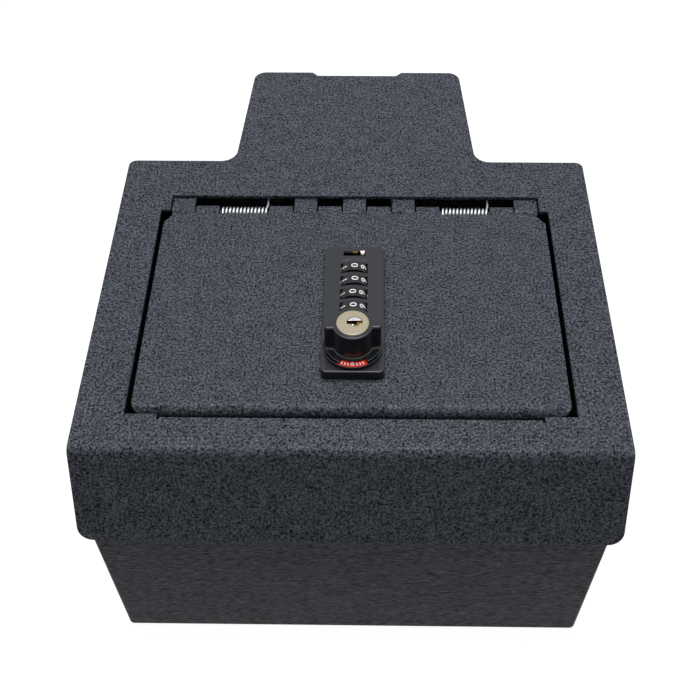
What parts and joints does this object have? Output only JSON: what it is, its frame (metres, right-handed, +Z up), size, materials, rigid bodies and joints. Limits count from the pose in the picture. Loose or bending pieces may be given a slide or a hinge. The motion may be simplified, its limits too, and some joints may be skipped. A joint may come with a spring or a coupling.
{
  "type": "vehicle console safe",
  "caption": "Steel box safe for a vehicle's centre console: flanged T-shaped top plate, front apron, recessed sprung lid on a knuckle hinge, dial and key lock with a turning cam latch.",
  "frame": {"origin": "on the surface the safe stands on, under the middle of its overall length and width", "axes": "+X to the right of a person at the front apron, +Y to the rear tab, +Z up"},
  "size_m": [0.3104, 0.368, 0.2159],
  "materials": {
    "powder_coat": "textured powder coat",
    "zinc_steel": "bright zinc plate",
    "zinc_casting": "black die casting",
    "lock_plastic": "satin",
    "knob_plastic": "gloss",
    "red_plastic": "gloss",
    "green_plastic": "gloss",
    "nickel": "satin nickel plate",
    "brass": "bright"
  },
  "bodies": {
    "box": {"top_plate": "powder_coat", "front_wall": "powder_coat", "rear_wall": "powder_coat", "left_wall": "powder_coat", "right_wall": "powder_coat", "floor_plate": "powder_coat", "fixed_knuckles": "powder_coat", "hinge_pin": "zinc_steel", "left_spring": "zinc_steel", "right_spring": "zinc_steel", "latch_strike": "powder_coat"},
    "lid": {"lid": "powder_coat", "lock_housing": "lock_plastic", "rear_cover": "zinc_casting", "clamp_screws": "zinc_steel", "indicator_red": "red_plastic", "indicator_green": "green_plastic", "dial_shaft": "zinc_steel", "detent_spring": "zinc_steel"},
    "knob": {"knob": "knob_plastic", "spindle": "zinc_steel", "latch_cam": "zinc_steel", "cam_washer": "zinc_steel", "cam_screw": "zinc_steel"},
    "key_plug": {"key_plug": "nickel"},
    "locking_bar": {"locking_bar": "zinc_steel"},
    "reset_slider": {"reset_slider": "knob_plastic", "reset_pin": "brass"},
    "dial_1": {"dial_1": "knob_plastic"},
    "dial_2": {"dial_2": "knob_plastic"},
    "dial_3": {"dial_3": "knob_plastic"},
    "dial_4": {"dial_4": "knob_plastic"}
  },
  "joints": [
    {"name": "lid_hinge", "type": "hinge", "parent": "box", "child": "lid", "pos_m": [0, 0.03724, 0.18244], "axis": [-1, 0, 0], "range_deg": [0, 95], "stiffness_Nm_per_rad": 0.2, "springref_deg": 95},
    {"name": "knob_turn", "type": "hinge", "parent": "lid", "child": "knob", "pos_m": [0.0007, -0.08956, 0.1873], "axis": [0, 0, 1], "range_deg": [0, 90]},
    {"name": "key_turn", "type": "hinge", "parent": "knob", "child": "key_plug", "pos_m": [0.0007, -0.08956, 0.1873], "axis": [0, 0, 1], "range_deg": [0, 90]},
    {"name": "bar_slide", "type": "slide", "parent": "lid", "child": "locking_bar", "axis": [0, 1, 0], "range_m": [0, 0.002]},
    {"name": "reset_slide", "type": "slide", "parent": "lid", "child": "reset_slider", "axis": [-1, 0, 0], "range_m": [0, 0.007]},
    {"name": "dial_1_turn", "type": "hinge", "parent": "lid", "child": "dial_1", "pos_m": [0.0007, -0.02586, 0.1881], "axis": [0, 1, 0], "continuous": true},
    {"name": "dial_2_turn", "type": "hinge", "parent": "lid", "child": "dial_2", "pos_m": [0.0007, -0.03686, 0.1881], "axis": [0, 1, 0], "continuous": true},
    {"name": "dial_3_turn", "type": "hinge", "parent": "lid", "child": "dial_3", "pos_m": [0.0007, -0.04786, 0.1881], "axis": [0, 1, 0], "continuous": true},
    {"name": "dial_4_turn", "type": "hinge", "parent": "lid", "child": "dial_4", "pos_m": [0.0007, -0.05886, 0.1881], "axis": [0, 1, 0], "continuous": true}
  ],
  "couplings": [
    {"joint": "bar_slide", "follows": "knob_turn", "m_per_rad": 0.00127}
  ]
}
